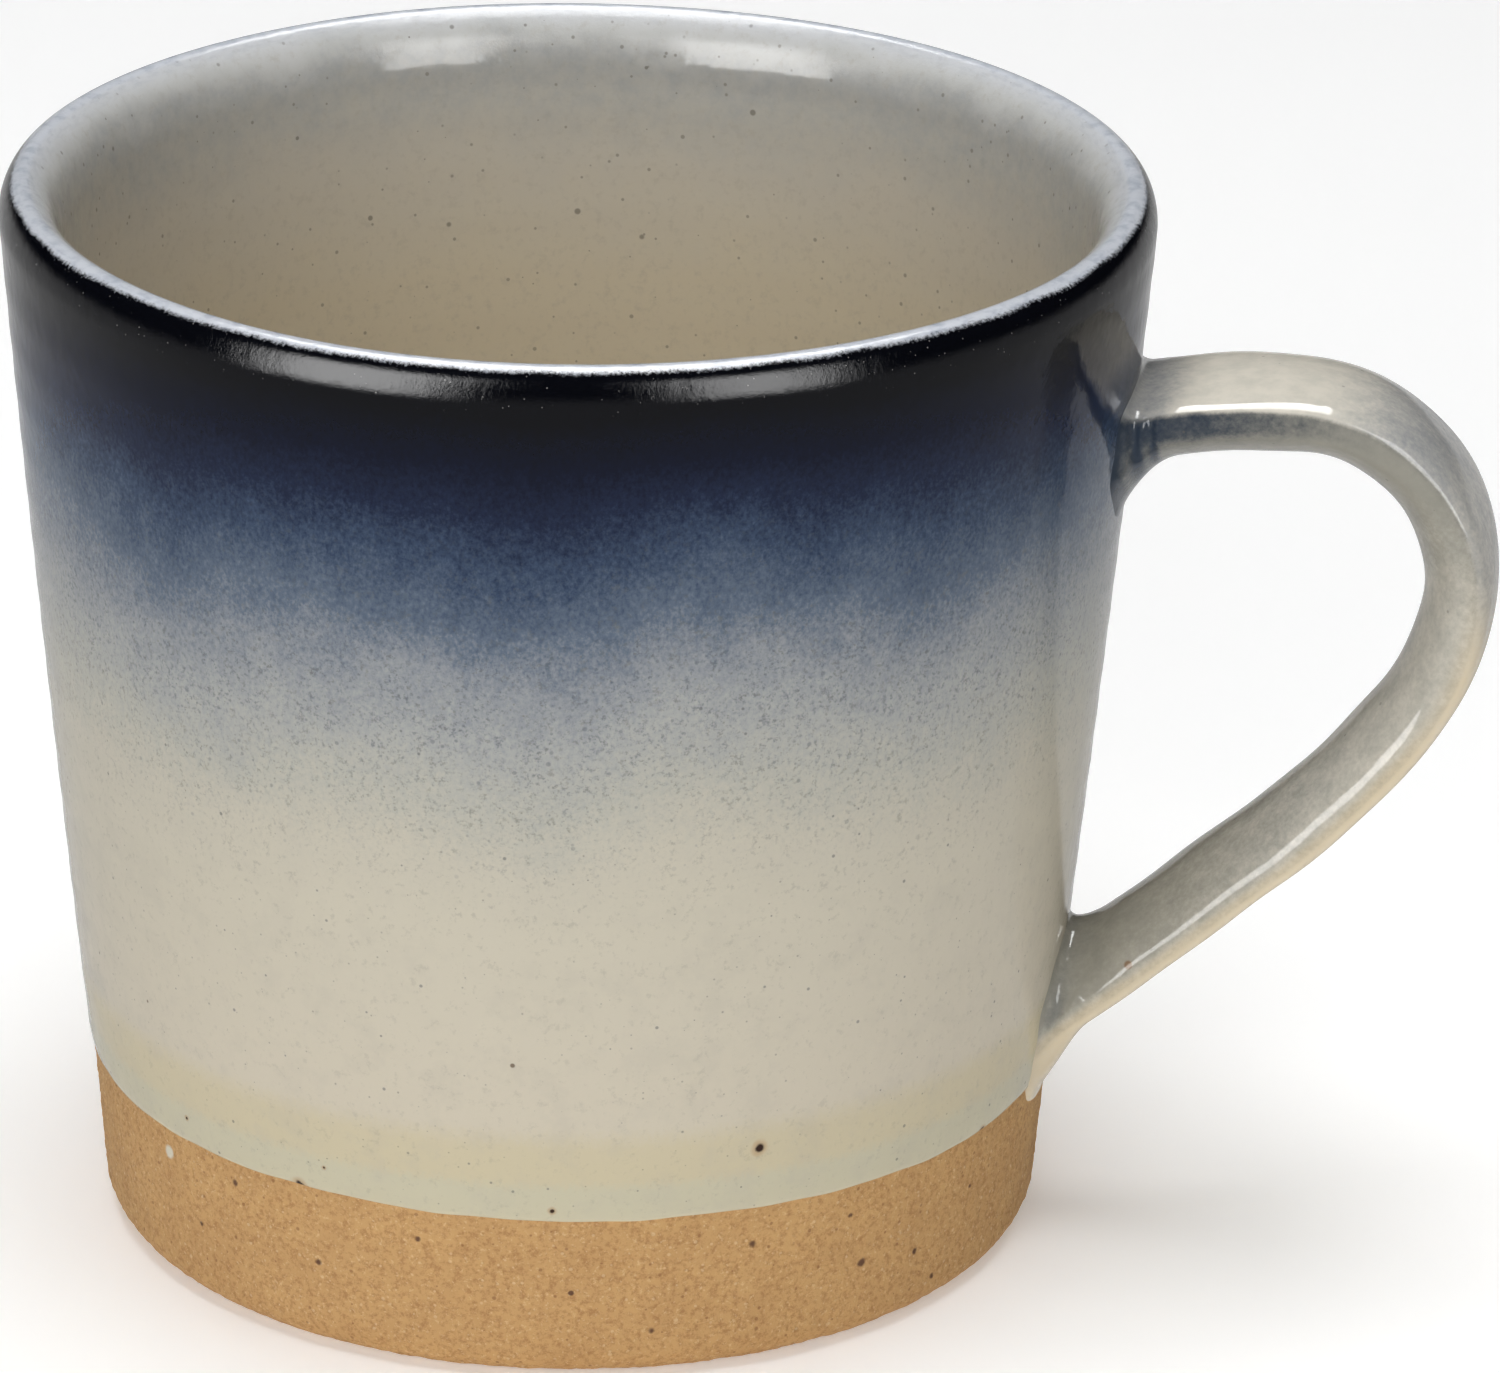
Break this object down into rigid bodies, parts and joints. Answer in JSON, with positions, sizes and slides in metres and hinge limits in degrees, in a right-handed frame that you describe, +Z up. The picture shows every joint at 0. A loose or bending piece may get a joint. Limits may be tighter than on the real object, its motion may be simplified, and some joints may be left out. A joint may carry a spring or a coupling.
{
  "type": "ceramic mug",
  "caption": "Straight tapered stoneware mug with a strap handle, dipped in two glazes over a bare clay foot band.",
  "frame": {"origin": "centre of the foot ring, at the level the mug rests on", "axes": "+Z up along the mug's axis, +X towards the handle"},
  "size_m": [0.1177, 0.09, 0.0859],
  "materials": {
    "stoneware": "matt",
    "slip": "matt",
    "outer_glaze": "gloss",
    "rim_glaze": "gloss",
    "liner_glaze": "satin",
    "handle_glaze": "gloss"
  },
  "bodies": {
    "root": {"cup_body": "stoneware", "handle": "stoneware", "upper_slip_joint": "slip", "lower_slip_joint": "slip", "outer_glaze": "outer_glaze", "rim_glaze": "rim_glaze", "liner_glaze": "liner_glaze", "foot_well_glaze": "liner_glaze", "handle_glaze": "handle_glaze"}
  },
  "joints": []
}
